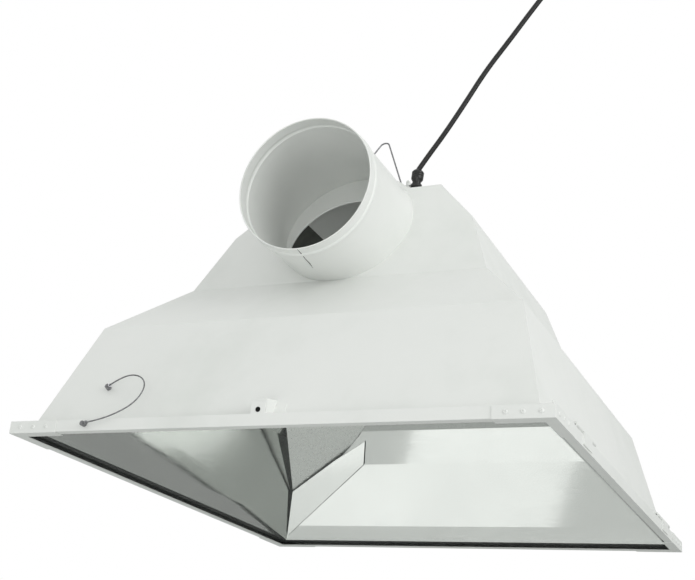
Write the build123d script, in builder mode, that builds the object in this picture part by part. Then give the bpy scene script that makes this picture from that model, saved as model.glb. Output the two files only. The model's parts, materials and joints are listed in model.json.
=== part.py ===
from build123d import *
import math
import os

# Air-cooled grow-light hood: a folded sheet-steel hood with a round duct collar at the front and
# the rear, a hinged glass lens frame underneath, and a double-ended lamp inside.
# Units are millimetres. The origin is the bottom centre of the lens frame; +X is the hinge side,
# -Y is the front and +Z is up.

# ---- driving dimensions -------------------------------------------------------------------
DUCT_RADIUS = 101.6          # outside of an eight-inch duct collar
SHEET = 1.4                  # hood sheet
REFLECTOR_SHEET = 0.8
COLLAR_SHEET = 0.9

FRAME_HALF_X = 385.5         # outside of the lens frame's corner brackets
FRAME_HALF_Y = 422.0
FRAME_HEIGHT = 17.3
BRACKET_SHEET = 1.2
RAIL_SHEET = 1.2
LIP_DEPTH = 13.0
BRACKET_LEG_X = 77.0
BRACKET_LEG_Y = 88.0
RIVET_STEPS = (17.0, 39.0, 60.0)
RIVET_Z = 8.9

GLASS_THICKNESS = 4.0
GLASS_Z = 4.4
GASKET_TOP = 10.3
SHELL_BOTTOM = 10.6

# Half sizes of the hood's outside at each fold: (height, half x, half y). The end walls above
# the band are flat, so their two upper folds follow one slope.
WALL_SLOPE = 0.396
FOLDS = [
    (SHELL_BOTTOM, 363.3, 402.4),
    (179.5, 317.0, 338.0),
    (269.5, 234.0, 243.0),
    (370.0, 195.5, 243.0 - 100.5 * WALL_SLOPE),
    (441.5, 133.0, 243.0 - 172.0 * WALL_SLOPE),
]
FLANGE_HALF_X = 382.0
FLANGE_HALF_Y = 418.0
ROOF_Z = FOLDS[-1][0]

DUCT_Z = 369.0
COLLAR_MOUTH_Y = 364.2
BEAD_FROM_MOUTH = 20.7
BEAD_HALF_WIDTH = 4.5
BEAD_HEIGHT = 2.0
WALL_HOLE_RADIUS = 90.0      # upper edge of the air hole behind each collar
WALL_HOLE_Z = 335.0
WALL_LIP = 4.0               # wall left standing inside the collar, all round the hole
EAR_RADIUS = DUCT_RADIUS + 6.0

# Half sizes of the reflector's inside folds: (height, half x, half y)
REFLECTOR_FOLDS = [
    (9.4, 360.6, 399.6),
    (35.0, 353.0, 389.2),
    (143.0, 324.0, 348.9),
    (176.0, 314.9, 329.0),
    (198.0, 293.0, 315.5),
    (264.0, 232.0, 245.0),
]
REFLECTOR_FLANGE = (369.9, 406.6)

LAMP_Z = 290.0
LAMP_HALF_LENGTH = 165.0
LAMP_RADIUS = 14.0
SOCKET_Y = 190.0
BAR_Z = 322.0

HINGE_X = 380.0
HINGE_Z = 22.0
HINGE_Y = 265.0
HINGE_LENGTH = 100.0
KNUCKLE_RADIUS = 4.0
PIN_RADIUS = 1.6
PIN_CLEARANCE = 0.08

LATCH_WIDTH = 21.0
LATCH_TOP = 33.0
LATCH_HOLE_Z = 22.5
LATCH_HOLE_RADIUS = 3.4
LATCH_SCREW_RADIUS = 3.3

HANGER_Y = 131.0
HANGER_HALF_BASE = 51.0
HANGER_WIRE = 1.25
HANGER_PIVOT_Z = 468.0
HANGER_APEX_Z = 582.0
HANGER_LEAN = 41.0

GLAND_X = 85.0
GLAND_Y = -156.0
CORD_RADIUS = 4.0
LANYARD_RADIUS = 1.0

os.makedirs("parts", exist_ok=True)


def save(builder, name):
    """Labels a finished piece and writes its STEP file."""
    builder.part.label = name
    export_step(builder.part, f"parts/{name}.step")


def half_at(folds, z):
    """Half sizes (x, y) of the folded outline at height z."""
    for (z0, x0, y0), (z1, x1, y1) in zip(folds, folds[1:]):
        if z <= z1:
            share = (z - z0) / (z1 - z0)
            return x0 + share * (x1 - x0), y0 + share * (y1 - y0)
    return folds[-1][1:]


def side_quad(side, half_x, half_y, inset):
    """Plan outline of one side's sheet, mitred into its neighbours at both corners."""
    near_x, near_y = half_x - inset, half_y - inset
    if side in ("front", "rear"):
        sign = -1 if side == "front" else 1
        return [(-half_x, sign * half_y), (half_x, sign * half_y),
                (near_x, sign * near_y), (-near_x, sign * near_y)]
    sign = -1 if side == "left" else 1
    return [(sign * half_x, -half_y), (sign * half_x, half_y),
            (sign * near_x, near_y), (sign * near_x, -near_y)]


def folded_side(side, folds, inset):
    """Lofts one side's sheet through its folds, inside the current BuildPart."""
    for (z0, x0, y0), (z1, x1, y1) in zip(folds, folds[1:]):
        with BuildSketch(Plane.XY.offset(z0)) as lower:
            Polygon(*side_quad(side, x0, y0, inset), align=None)
        with BuildSketch(Plane.XY.offset(z1)) as upper:
            Polygon(*side_quad(side, x1, y1, inset), align=None)
        loft(sections=[lower.sketch, upper.sketch], ruled=True)


def shell_flange(side):
    """The outward flange that presses on the lens gasket."""
    _, half_x, half_y = FOLDS[0]
    inner_x, inner_y = half_x - SHEET, half_y - SHEET
    if side in ("front", "rear"):
        sign = -1 if side == "front" else 1
        points = [(-FLANGE_HALF_X, sign * FLANGE_HALF_Y), (FLANGE_HALF_X, sign * FLANGE_HALF_Y),
                  (inner_x, sign * inner_y), (-inner_x, sign * inner_y)]
    else:
        sign = -1 if side == "left" else 1
        points = [(sign * FLANGE_HALF_X, -FLANGE_HALF_Y), (sign * FLANGE_HALF_X, FLANGE_HALF_Y),
                  (sign * inner_x, inner_y), (sign * inner_x, -inner_y)]
    with BuildSketch(Plane.XY.offset(SHELL_BOTTOM)) as outline:
        Polygon(*points, align=None)
    extrude(to_extrude=outline.sketch, amount=SHEET)


# ---- hood shell: two end panels with duct holes, two side panels and a roof -----------------
INSIDE_WALLS_Y = 135.0       # a depth that lies inside both end walls at every height
wall_top_y = FOLDS[-1][2]
wall_cosine = math.cos(math.atan(WALL_SLOPE))


def wall_y(z):
    """Half depth of the upper end wall's outside at height z."""
    return wall_top_y + WALL_SLOPE * (ROOF_Z - z)


def wall_plane(sign):
    """Plane of an end wall's outside, at the duct axis, with its local y running up the wall."""
    up = Vector(0, -sign * WALL_SLOPE, 1).normalized()
    out = Vector(0, sign, WALL_SLOPE).normalized()
    return Plane(origin=(0, sign * wall_y(DUCT_Z), DUCT_Z), x_dir=up.cross(out), z_dir=out)


for side, sign in (("front", -1), ("rear", 1)):
    ear_plane = wall_plane(sign)
    ear_start = (ROOF_Z - DUCT_Z) / wall_cosine
    ear_top = EAR_RADIUS / wall_cosine
    ear_half = math.sqrt(EAR_RADIUS ** 2 - (ROOF_Z - DUCT_Z) ** 2)
    with BuildPart() as end_panel:
        folded_side(side, FOLDS, SHEET)
        shell_flange(side)
        with BuildSketch(ear_plane) as ear:
            with BuildLine():
                Line((-ear_half, ear_start), (ear_half, ear_start))
                ThreePointArc((ear_half, ear_start), (0, ear_top), (-ear_half, ear_start))
            make_face()
        extrude(to_extrude=ear.sketch, amount=-SHEET * wall_cosine)
        with BuildSketch(Plane.XZ.offset(-sign * INSIDE_WALLS_Y)) as hole:
            with Locations((0, WALL_HOLE_Z)):
                Circle(WALL_HOLE_RADIUS)
            with Locations((0, DUCT_Z)):
                Circle(DUCT_RADIUS - COLLAR_SHEET - WALL_LIP, mode=Mode.INTERSECT)
        extrude(to_extrude=hole.sketch, amount=-sign * INSIDE_WALLS_Y, mode=Mode.SUBTRACT)
    save(end_panel, f"{side}_panel")

for side in ("left", "right"):
    with BuildPart() as side_panel:
        folded_side(side, FOLDS, SHEET)
        shell_flange(side)
    save(side_panel, f"{side}_panel")

with BuildPart() as roof_panel:
    _, roof_half_x, roof_half_y = FOLDS[-1]
    with BuildSketch(Plane.XY.offset(ROOF_Z)):
        Rectangle(2 * roof_half_x, 2 * roof_half_y - 4.2)
    extrude(amount=SHEET)
save(roof_panel, "roof_panel")

# ---- duct collars: rolled tubes with a stiffening bead, cut to lie on the end walls ----------
for side, sign in (("front", -1), ("rear", 1)):
    bead_y = COLLAR_MOUTH_Y - BEAD_FROM_MOUTH
    bead_back, bead_front = bead_y - BEAD_HALF_WIDTH, bead_y + BEAD_HALF_WIDTH
    inner_radius = DUCT_RADIUS - COLLAR_SHEET
    with BuildPart() as collar:
        with BuildSketch(Plane.XY):
            with BuildLine():
                Line((inner_radius, INSIDE_WALLS_Y), (DUCT_RADIUS, INSIDE_WALLS_Y))
                Line((DUCT_RADIUS, INSIDE_WALLS_Y), (DUCT_RADIUS, bead_back))
                ThreePointArc((DUCT_RADIUS, bead_back), (DUCT_RADIUS + BEAD_HEIGHT, bead_y),
                              (DUCT_RADIUS, bead_front))
                Polyline((DUCT_RADIUS, bead_front), (DUCT_RADIUS, COLLAR_MOUTH_Y),
                         (inner_radius, COLLAR_MOUTH_Y), (inner_radius, bead_front))
                ThreePointArc((inner_radius, bead_front), (inner_radius + BEAD_HEIGHT, bead_y),
                              (inner_radius, bead_back))
                Line((inner_radius, bead_back), (inner_radius, INSIDE_WALLS_Y))
            make_face()
        revolve(axis=Axis.Y)
        # Everything behind the outside of the sloping end wall and band is cut away.
        cut_top = DUCT_RADIUS * 1.5
        band_z = FOLDS[2][0] - DUCT_Z
        cut_bottom = band_z - 12.0
        _, cut_bottom_y = half_at(FOLDS, DUCT_Z + cut_bottom)
        with BuildSketch(Plane.YZ.offset(-cut_top)) as behind:
            Polygon((0.0, cut_bottom), (cut_bottom_y, cut_bottom), (FOLDS[2][2], band_z),
                    (wall_y(DUCT_Z + cut_top), cut_top), (0.0, cut_top), align=None)
        extrude(to_extrude=behind.sketch, amount=2 * cut_top, mode=Mode.SUBTRACT)
    placed = collar.part if sign > 0 else collar.part.mirror(Plane.XZ)
    with BuildPart() as placed_collar:
        add(placed.moved(Location((0, 0, DUCT_Z))))
    save(placed_collar, f"{side}_collar")

# ---- reflector insert: four folded walls, and a strip and a dimpled gusset in both left corners
for side in ("front", "rear", "left", "right"):
    with BuildPart() as reflector:
        folded_side(side, REFLECTOR_FOLDS, -REFLECTOR_SHEET)
        flange_z, foot_x, foot_y = REFLECTOR_FOLDS[0]
        flange_x, flange_y = REFLECTOR_FLANGE
        with BuildSketch(Plane.XY.offset(flange_z)) as foot_flange:
            outer_edge = side_quad(side, flange_x, flange_y, 0.0)[:2]
            inner_edge = side_quad(side, foot_x, foot_y, 0.0)[2:]
            Polygon(*outer_edge, *inner_edge, align=None)
        extrude(to_extrude=foot_flange.sketch, amount=REFLECTOR_SHEET)
    save(reflector, f"reflector_{side}")


def plate(points, thickness, outward):
    """A flat plate: its face is the polygon through the points, its thickness on the outward side."""
    first, second, third = (Vector(*p) for p in points[:3])
    normal = (second - first).cross(third - first).normalized()
    if normal.dot(Vector(*outward)) < 0:
        normal = normal * -1
    face_plane = Plane(origin=first, x_dir=(second - first).normalized(), z_dir=normal)
    local = [face_plane.to_local_coords(Vector(*p)) for p in points]
    with BuildSketch(face_plane) as face:
        Polygon(*[(p.X, p.Y) for p in local], align=None)
    extrude(to_extrude=face.sketch, amount=thickness)


# Corner of the rear left: the strip folds along the rear wall, the gusset leans over its top edge.
STRIP_POINTS = [(-357.0, 394.0, 16.0), (-187.1, 345.5, 142.0), (-178.0, 322.5, 180.5),
                (-240.0, 333.5, 149.0), (-333.0, 353.0, 94.0)]
GUSSET_POINTS = [(-333.0, 352.0, 94.5), (-297.0, 226.0, 191.0), (-171.0, 302.5, 207.0)]
GUSSET_EDGE = (-247.0, 338.0, 134.5)

with BuildPart() as strips:
    plate(STRIP_POINTS, REFLECTOR_SHEET, (0, 1, 0))
corner_strip = strips.part

with BuildPart() as gussets:
    low, left, high = (Vector(*p) for p in GUSSET_POINTS)
    gusset_normal = (left - low).cross(high - low).normalized()
    if gusset_normal.Z < 0:
        gusset_normal = gusset_normal * -1
    gusset_plane = Plane(origin=low, x_dir=(high - low).normalized(), z_dir=gusset_normal)
    low_at, left_at, high_at, edge_at = (gusset_plane.to_local_coords(v)
                                         for v in (low, left, high, Vector(*GUSSET_EDGE)))
    with BuildSketch(gusset_plane) as gusset_face:
        with BuildLine():
            Line((high_at.X, high_at.Y), (left_at.X, left_at.Y))
            Line((left_at.X, left_at.Y), (low_at.X, low_at.Y))
            ThreePointArc((low_at.X, low_at.Y), (edge_at.X, edge_at.Y), (high_at.X, high_at.Y))
        make_face()
    extrude(to_extrude=gusset_face.sketch, amount=REFLECTOR_SHEET)
corner_gusset = gussets.part


with BuildPart() as corner_strips:
    add([corner_strip, corner_strip.mirror(Plane.XZ)])
save(corner_strips, "corner_strips")

with BuildPart() as corner_gussets:
    add([corner_gusset, corner_gusset.mirror(Plane.XZ)])
save(corner_gussets, "corner_gussets")

# ---- lamp, sockets and the bars that carry them ----------------------------------------------
with BuildPart() as lamp_envelope:
    with BuildSketch(Plane.XZ.offset(-LAMP_HALF_LENGTH + 12.0)):
        with Locations((0, LAMP_Z)):
            Circle(LAMP_RADIUS)
            Circle(LAMP_RADIUS - 1.5, mode=Mode.SUBTRACT)
    extrude(amount=2 * LAMP_HALF_LENGTH - 24.0)
save(lamp_envelope, "lamp_envelope")

with BuildPart() as arc_tube:
    with BuildSketch(Plane.XZ.offset(-LAMP_HALF_LENGTH + 40.0)):
        with Locations((0, LAMP_Z)):
            Circle(5.0)
    extrude(amount=2 * LAMP_HALF_LENGTH - 80.0)
save(arc_tube, "arc_tube")

with BuildPart() as lamp_ends:
    for sign in (-1, 1):
        with BuildSketch(Plane.XZ.offset(-sign * (LAMP_HALF_LENGTH - 12.0))) as pinch_wide:
            with Locations((0, LAMP_Z)):
                Circle(LAMP_RADIUS)
        with BuildSketch(Plane.XZ.offset(-sign * (LAMP_HALF_LENGTH + 4.0))) as pinch_narrow:
            with Locations((0, LAMP_Z)):
                Circle(6.0)
        loft(sections=[pinch_wide.sketch, pinch_narrow.sketch], ruled=True)
save(lamp_ends, "lamp_ends")

SOCKET_LENGTH = 38.0
for side, sign in (("front", -1), ("rear", 1)):
    with BuildPart() as socket:
        with Locations((0, sign * SOCKET_Y, LAMP_Z + 3.0)):
            Box(28.0, SOCKET_LENGTH, 38.0)
        fillet(socket.edges().filter_by(Axis.Z), radius=4.0)
        with BuildSketch(Plane.XZ.offset(-sign * (SOCKET_Y - SOCKET_LENGTH / 2))) as socket_mouth:
            with Locations((0, LAMP_Z)):
                Circle(6.4)
        extrude(to_extrude=socket_mouth.sketch, amount=-sign * 16.0, mode=Mode.SUBTRACT)
    save(socket, f"{side}_socket")
    bar_half = half_at(FOLDS, BAR_Z)[0] - SHEET - 1.0
    with BuildPart() as socket_bar:
        with Locations((0, sign * SOCKET_Y, BAR_Z - 9.25)):
            Box(2 * bar_half, 22.0, 1.5)
        for edge in (-1, 1):
            with Locations((0, sign * SOCKET_Y + edge * 10.25, BAR_Z - 4.5)):
                Box(2 * bar_half, 1.5, 8.0)
    save(socket_bar, f"{side}_socket_bar")

CROWN_HALF_X = 96.0
CROWN_HALF_Y = 150.0
with BuildPart() as lamp_crown:
    with BuildSketch(Plane.XZ.offset(-CROWN_HALF_Y)):
        crown = [(-CROWN_HALF_X, 308.0), (-30.0, 326.0), (0.0, 318.0), (30.0, 326.0), (CROWN_HALF_X, 308.0)]
        under = [(x, z - REFLECTOR_SHEET) for x, z in reversed(crown)]
        Polygon(*crown, *under, align=None)
    extrude(amount=2 * CROWN_HALF_Y)
save(lamp_crown, "lamp_crown")

# Both leads run beside the duct path to the cable gland in the roof.
LEAD_ROUTES = [
    [(16.0, -180.0, 295.0), (38.0, -175.0, 297.0), (60.0, -166.0, 335.0), (70.0, -158.0, 400.0),
     (GLAND_X - 3.0, GLAND_Y, ROOF_Z - 6.5)],
    [(16.0, 180.0, 295.0), (38.0, 175.0, 297.0), (60.0, 166.0, 335.0), (78.0, 150.0, 410.0),
     (84.0, 120.0, 430.0), (86.0, -110.0, 431.0), (81.0, -140.0, 420.0),
     (GLAND_X + 3.0, GLAND_Y, ROOF_Z - 6.5)],
]
with BuildPart() as lamp_leads:
    for points in LEAD_ROUTES:
        with BuildLine() as lead_path:
            FilletPolyline(*points, radius=7.0)
        with BuildSketch(Plane(origin=lead_path.line @ 0, z_dir=lead_path.line % 0)):
            Circle(1.8)
        sweep(path=lead_path.line)
save(lamp_leads, "lamp_leads")

# ---- lens frame: four mitred angle rails, corner brackets, rivets, gasket and glass ----------
RAIL_HALF_X = FRAME_HALF_X - BRACKET_SHEET
RAIL_HALF_Y = FRAME_HALF_Y - BRACKET_SHEET
RAIL_BOTTOM = 1.0
for side in ("front", "rear", "left", "right"):
    across = side in ("front", "rear")
    sign = -1 if side in ("front", "left") else 1
    with BuildPart() as rail:
        for inset, height in ((LIP_DEPTH, RAIL_SHEET), (RAIL_SHEET, FRAME_HEIGHT - RAIL_BOTTOM)):
            with BuildSketch(Plane.XY.offset(RAIL_BOTTOM)):
                Polygon(*side_quad(side, RAIL_HALF_X, RAIL_HALF_Y, inset), align=None)
            extrude(amount=height)
        if side != "right":
            # The latch tab stands up from the middle of the rail, with a round hole for its screw.
            if across:
                tab_plane = Plane(origin=(0, sign * RAIL_HALF_Y, 0), x_dir=(1, 0, 0), z_dir=(0, -1, 0))
                depth = RAIL_SHEET * sign
            else:
                tab_plane = Plane(origin=(sign * RAIL_HALF_X, 0, 0), x_dir=(0, 1, 0), z_dir=(1, 0, 0))
                depth = -RAIL_SHEET * sign
            with BuildSketch(tab_plane) as tab:
                with Locations((0, (FRAME_HEIGHT + LATCH_TOP) / 2)):
                    Rectangle(LATCH_WIDTH, LATCH_TOP - FRAME_HEIGHT)
                with Locations((0, LATCH_HOLE_Z)):
                    Circle(LATCH_HOLE_RADIUS, mode=Mode.SUBTRACT)
            extrude(to_extrude=tab.sketch, amount=depth)
    save(rail, f"{side}_rail")

BRACKET_FOOT_X = 17.0
BRACKET_FOOT_Y = 19.0
with BuildPart() as bracket:
    with BuildSketch(Plane.XY):
        with Locations((FRAME_HALF_X - BRACKET_LEG_X / 2, -FRAME_HALF_Y + BRACKET_FOOT_Y / 2)):
            Rectangle(BRACKET_LEG_X, BRACKET_FOOT_Y)
        with Locations((FRAME_HALF_X - BRACKET_FOOT_X / 2, -FRAME_HALF_Y + BRACKET_LEG_Y / 2)):
            Rectangle(BRACKET_FOOT_X, BRACKET_LEG_Y)
    extrude(amount=RAIL_BOTTOM)
    with BuildSketch(Plane.XY):
        with Locations((FRAME_HALF_X - BRACKET_LEG_X / 2, -FRAME_HALF_Y + BRACKET_SHEET / 2)):
            Rectangle(BRACKET_LEG_X, BRACKET_SHEET)
        with Locations((FRAME_HALF_X - BRACKET_SHEET / 2, -FRAME_HALF_Y + BRACKET_LEG_Y / 2)):
            Rectangle(BRACKET_SHEET, BRACKET_LEG_Y)
    extrude(amount=FRAME_HEIGHT)
corner_names = {"front_right": (False, False), "front_left": (True, False),
                "rear_right": (False, True), "rear_left": (True, True)}
for name, (flip_x, flip_y) in corner_names.items():
    piece = bracket.part.mirror(Plane.YZ) if flip_x else bracket.part
    piece = piece.mirror(Plane.XZ) if flip_y else piece
    with BuildPart() as corner_bracket:
        add(piece)
    save(corner_bracket, f"{name}_corner_bracket")

RIVET_RADIUS = 3.2
RIVET_HEAD = 1.0
with BuildPart() as corner_rivets:
    for sign_x in (-1, 1):
        for sign_y in (-1, 1):
            for step in RIVET_STEPS:
                front_face = Plane(origin=(sign_x * (FRAME_HALF_X - step), sign_y * FRAME_HALF_Y, RIVET_Z),
                                   z_dir=(0, sign_y, 0))
                side_face = Plane(origin=(sign_x * FRAME_HALF_X, sign_y * (FRAME_HALF_Y - step), RIVET_Z),
                                  z_dir=(sign_x, 0, 0))
                for face in (front_face, side_face):
                    with BuildSketch(face) as head:
                        Circle(RIVET_RADIUS)
                    extrude(to_extrude=head.sketch, amount=RIVET_HEAD, taper=20)
save(corner_rivets, "corner_rivets")

GASKET_HALF_X = RAIL_HALF_X - RAIL_SHEET - 0.3
GASKET_HALF_Y = RAIL_HALF_Y - RAIL_SHEET - 0.3
GASKET_WIDTH = 12.0
GLASS_EDGE = 2.3
with BuildPart() as lens_glass:
    with BuildSketch(Plane.XY.offset(GLASS_Z)):
        Rectangle(2 * (GASKET_HALF_X - GLASS_EDGE), 2 * (GASKET_HALF_Y - GLASS_EDGE))
    extrude(amount=GLASS_THICKNESS)
save(lens_glass, "lens_glass")

gasket_bottom = RAIL_BOTTOM + RAIL_SHEET
with BuildPart() as lens_gasket:
    with BuildSketch(Plane.XY.offset(gasket_bottom)):
        Rectangle(2 * GASKET_HALF_X, 2 * GASKET_HALF_Y)
        Rectangle(2 * (GASKET_HALF_X - GASKET_WIDTH), 2 * (GASKET_HALF_Y - GASKET_WIDTH), mode=Mode.SUBTRACT)
    extrude(amount=GASKET_TOP - gasket_bottom)
    add(lens_glass.part, mode=Mode.SUBTRACT)
save(lens_gasket, "lens_gasket")

# ---- hinges on the right: three knuckles each, the outer two on the hood --------------------
outer_knuckle = 28.0
inner_knuckle = HINGE_LENGTH - 2 * outer_knuckle - 1.0
LEAF = 1.4
CONTACT_GAP = 0.05           # paint thickness between pieces that lie on each other
knuckle_top = HINGE_Z + KNUCKLE_RADIUS
web_z = HINGE_Z + 6.0
spine_z = HINGE_Z + 14.0
leaf_top = HINGE_Z + 32.0


def knuckle(centre_y, length, bore):
    """One hinge knuckle on the hinge axis."""
    with BuildSketch(Plane.XZ.offset(-(centre_y - length / 2))) as ring:
        with Locations((HINGE_X, HINGE_Z)):
            Circle(KNUCKLE_RADIUS)
            Circle(bore, mode=Mode.SUBTRACT)
    extrude(to_extrude=ring.sketch, amount=-length)


for label, sign in (("front", -1), ("rear", 1)):
    centre = sign * HINGE_Y
    outer_centres = [centre + end * (HINGE_LENGTH - outer_knuckle) / 2 for end in (-1, 1)]
    with BuildPart() as upper_leaf:
        for y in outer_centres:
            knuckle(y, outer_knuckle, PIN_RADIUS)
            # A web runs from the knuckle's top up to the sloping skirt, then lies along it.
            low_x, _ = half_at(FOLDS, web_z)
            high_x, _ = half_at(FOLDS, leaf_top)
            with BuildSketch(Plane.XZ.offset(-(y - outer_knuckle / 2))) as web:
                Polygon((HINGE_X, knuckle_top), (low_x + LEAF, web_z + LEAF), (high_x + LEAF, leaf_top),
                        (high_x + CONTACT_GAP, leaf_top), (low_x + CONTACT_GAP, web_z),
                        (HINGE_X - 1.0, knuckle_top - LEAF), align=None)
            extrude(to_extrude=web.sketch, amount=-outer_knuckle)
        middle_low, _ = half_at(FOLDS, spine_z)
        with BuildSketch(Plane.XZ.offset(-(centre - HINGE_LENGTH / 2))) as spine:
            Polygon((middle_low + CONTACT_GAP, spine_z), (middle_low + LEAF, spine_z),
                    (high_x + LEAF, leaf_top), (high_x + CONTACT_GAP, leaf_top), align=None)
        extrude(to_extrude=spine.sketch, amount=-HINGE_LENGTH)
    save(upper_leaf, f"{label}_hinge_upper_leaf")

    with BuildPart() as lower_leaf:
        knuckle(centre, inner_knuckle, PIN_RADIUS + PIN_CLEARANCE)
        # The lower leaf drops from the knuckle over the rail's outer face.
        with BuildSketch(Plane.XZ.offset(-(centre - inner_knuckle / 2))) as drop:
            Polygon((HINGE_X + 1.0, HINGE_Z - KNUCKLE_RADIUS + 0.1), (HINGE_X + 2.0, HINGE_Z - 2.0),
                    (HINGE_X + KNUCKLE_RADIUS - 0.2, HINGE_Z), (RAIL_HALF_X + 1.3, HINGE_Z - 2.0),
                    (RAIL_HALF_X + 1.3, 4.0), (RAIL_HALF_X, 4.0), (RAIL_HALF_X, FRAME_HEIGHT),
                    align=None)
        extrude(to_extrude=drop.sketch, amount=-inner_knuckle)
        knuckle_bore = PIN_RADIUS + PIN_CLEARANCE
        with BuildSketch(Plane.XZ.offset(-(centre - inner_knuckle / 2))) as clear_bore:
            with Locations((HINGE_X, HINGE_Z)):
                Circle(knuckle_bore)
        extrude(to_extrude=clear_bore.sketch, amount=-inner_knuckle, mode=Mode.SUBTRACT)
    save(lower_leaf, f"{label}_hinge_lower_leaf")

with BuildPart() as hinge_pins:
    for sign in (-1, 1):
        with BuildSketch(Plane.XZ.offset(-(sign * HINGE_Y - HINGE_LENGTH / 2))) as pin:
            with Locations((HINGE_X, HINGE_Z)):
                Circle(PIN_RADIUS)
        extrude(to_extrude=pin.sketch, amount=-HINGE_LENGTH)
save(hinge_pins, "hinge_pins")

# ---- latches: a keeper on the hood behind each rail tab, and a quarter-turn screw -----------
KEEPER_SHEET = 1.2
KEEPER_GAP = 0.5
KEEPER_BOTTOM = 13.0
KEEPER_TOP = 37.0
KEEPER_FOOT_LENGTH = 16.0
STUD_HOLE_RADIUS = 2.2


def keeper_at_origin(half_index, rail_half):
    """A keeper bracket facing -Y: a front plate, two side walls and a foot on the sloping skirt."""
    face_y = -(rail_half - RAIL_SHEET - KEEPER_GAP)

    def skirt_at(z):
        return -half_at(FOLDS, z)[half_index] - CONTACT_GAP

    half = LATCH_WIDTH / 2
    wall_top = KEEPER_TOP + 6.0
    foot_bottom = KEEPER_BOTTOM + 3.0
    with BuildPart() as keeper:
        with Locations((0, face_y + KEEPER_SHEET / 2, (KEEPER_BOTTOM + KEEPER_TOP) / 2)):
            Box(LATCH_WIDTH, KEEPER_SHEET, KEEPER_TOP - KEEPER_BOTTOM)
        for start in (-half, half - KEEPER_SHEET):
            with BuildSketch(Plane.YZ.offset(start)) as wall:
                Polygon((face_y, KEEPER_BOTTOM), (face_y, KEEPER_TOP), (skirt_at(wall_top), wall_top),
                        (skirt_at(KEEPER_BOTTOM), KEEPER_BOTTOM), align=None)
            extrude(to_extrude=wall.sketch, amount=KEEPER_SHEET)
        with BuildSketch(Plane.YZ.offset(half)) as foot:
            Polygon((skirt_at(foot_bottom) - KEEPER_SHEET, foot_bottom),
                    (skirt_at(KEEPER_TOP) - KEEPER_SHEET, KEEPER_TOP),
                    (skirt_at(KEEPER_TOP), KEEPER_TOP), (skirt_at(foot_bottom), foot_bottom), align=None)
        extrude(to_extrude=foot.sketch, amount=KEEPER_FOOT_LENGTH)
        with BuildSketch(Plane.XZ.offset(-face_y - 1.5 * KEEPER_SHEET)) as stud_hole:
            with Locations((0, LATCH_HOLE_Z)):
                Circle(STUD_HOLE_RADIUS)
        extrude(to_extrude=stud_hole.sketch, amount=2 * KEEPER_SHEET, mode=Mode.SUBTRACT)
    return keeper.part


def screw_at_origin(rail_half):
    """A slotted quarter-turn screw facing -Y, flush in the rail tab's hole."""
    with BuildPart() as screw:
        with BuildSketch(Plane.XZ.offset(rail_half - RAIL_SHEET)):
            with Locations((0, LATCH_HOLE_Z)):
                Circle(LATCH_SCREW_RADIUS)
        extrude(amount=RAIL_SHEET + 0.6)
        with Locations((0, -rail_half - 0.6, LATCH_HOLE_Z)):
            Box(2 * LATCH_SCREW_RADIUS, 1.0, 1.0, mode=Mode.SUBTRACT)
    return screw.part


latch_sides = {"front": (1, RAIL_HALF_Y, 0.0), "rear": (1, RAIL_HALF_Y, 180.0),
               "left": (0, RAIL_HALF_X, -90.0)}
for side, (half_index, rail_half, turn) in latch_sides.items():
    with BuildPart() as keeper_piece:
        add(keeper_at_origin(half_index, rail_half).rotate(Axis.Z, turn))
    save(keeper_piece, f"{side}_keeper")
    with BuildPart() as screw_piece:
        add(screw_at_origin(rail_half).rotate(Axis.Z, turn))
    save(screw_piece, f"{side}_latch_screw")

# ---- roof hangers: a U bracket with two ears, and a V of bent wire hung in it ---------------
EAR_X = 62.6
EAR_SHEET = 1.6
EAR_HALF_WIDTH = 9.0
BASE_TOP = ROOF_Z + SHEET + EAR_SHEET
for side, sign in (("front", -1), ("rear", 1)):
    with BuildPart() as hanger_bracket:
        with Locations((0, sign * HANGER_Y, BASE_TOP - EAR_SHEET / 2)):
            Box(2 * EAR_X, 2 * EAR_HALF_WIDTH, EAR_SHEET)
        for ear_sign in (-1, 1):
            start = EAR_X - EAR_SHEET if ear_sign > 0 else -EAR_X
            with BuildSketch(Plane.YZ.offset(start)) as ear_face:
                with Locations((sign * HANGER_Y, (BASE_TOP + HANGER_PIVOT_Z) / 2)):
                    Rectangle(2 * EAR_HALF_WIDTH, HANGER_PIVOT_Z - BASE_TOP)
                with Locations((sign * HANGER_Y, HANGER_PIVOT_Z)):
                    Circle(EAR_HALF_WIDTH)
                    Circle(HANGER_WIRE + 0.15, mode=Mode.SUBTRACT)
            extrude(to_extrude=ear_face.sketch, amount=EAR_SHEET)
    save(hanger_bracket, f"{side}_hanger_bracket")

    # Each wire hooks out through an ear, runs up to the apex and down to the other ear.
    apex_y = sign * (HANGER_Y - HANGER_LEAN)
    wire_end_x = EAR_X + 3.0
    with BuildPart() as hanger:
        with BuildLine() as hanger_path:
            FilletPolyline(
                (-wire_end_x, sign * HANGER_Y, HANGER_PIVOT_Z),
                (-HANGER_HALF_BASE, sign * HANGER_Y, HANGER_PIVOT_Z),
                (0.0, apex_y, HANGER_APEX_Z),
                (HANGER_HALF_BASE, sign * HANGER_Y, HANGER_PIVOT_Z),
                (wire_end_x, sign * HANGER_Y, HANGER_PIVOT_Z), radius=[2.2, 8.0, 2.2])
        with BuildSketch(Plane(origin=hanger_path.line @ 0, z_dir=hanger_path.line % 0)):
            Circle(HANGER_WIRE)
        sweep(path=hanger_path.line)
    save(hanger, f"{side}_hanger")

with BuildPart() as hanger_rivets:
    for sign in (-1, 1):
        for x in (-30.0, 30.0):
            with BuildSketch(Plane.XY.offset(BASE_TOP)) as rivet_head:
                with Locations((x, sign * HANGER_Y)):
                    Circle(RIVET_RADIUS)
            extrude(to_extrude=rivet_head.sketch, amount=RIVET_HEAD, taper=20)
save(hanger_rivets, "hanger_rivets")

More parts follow.
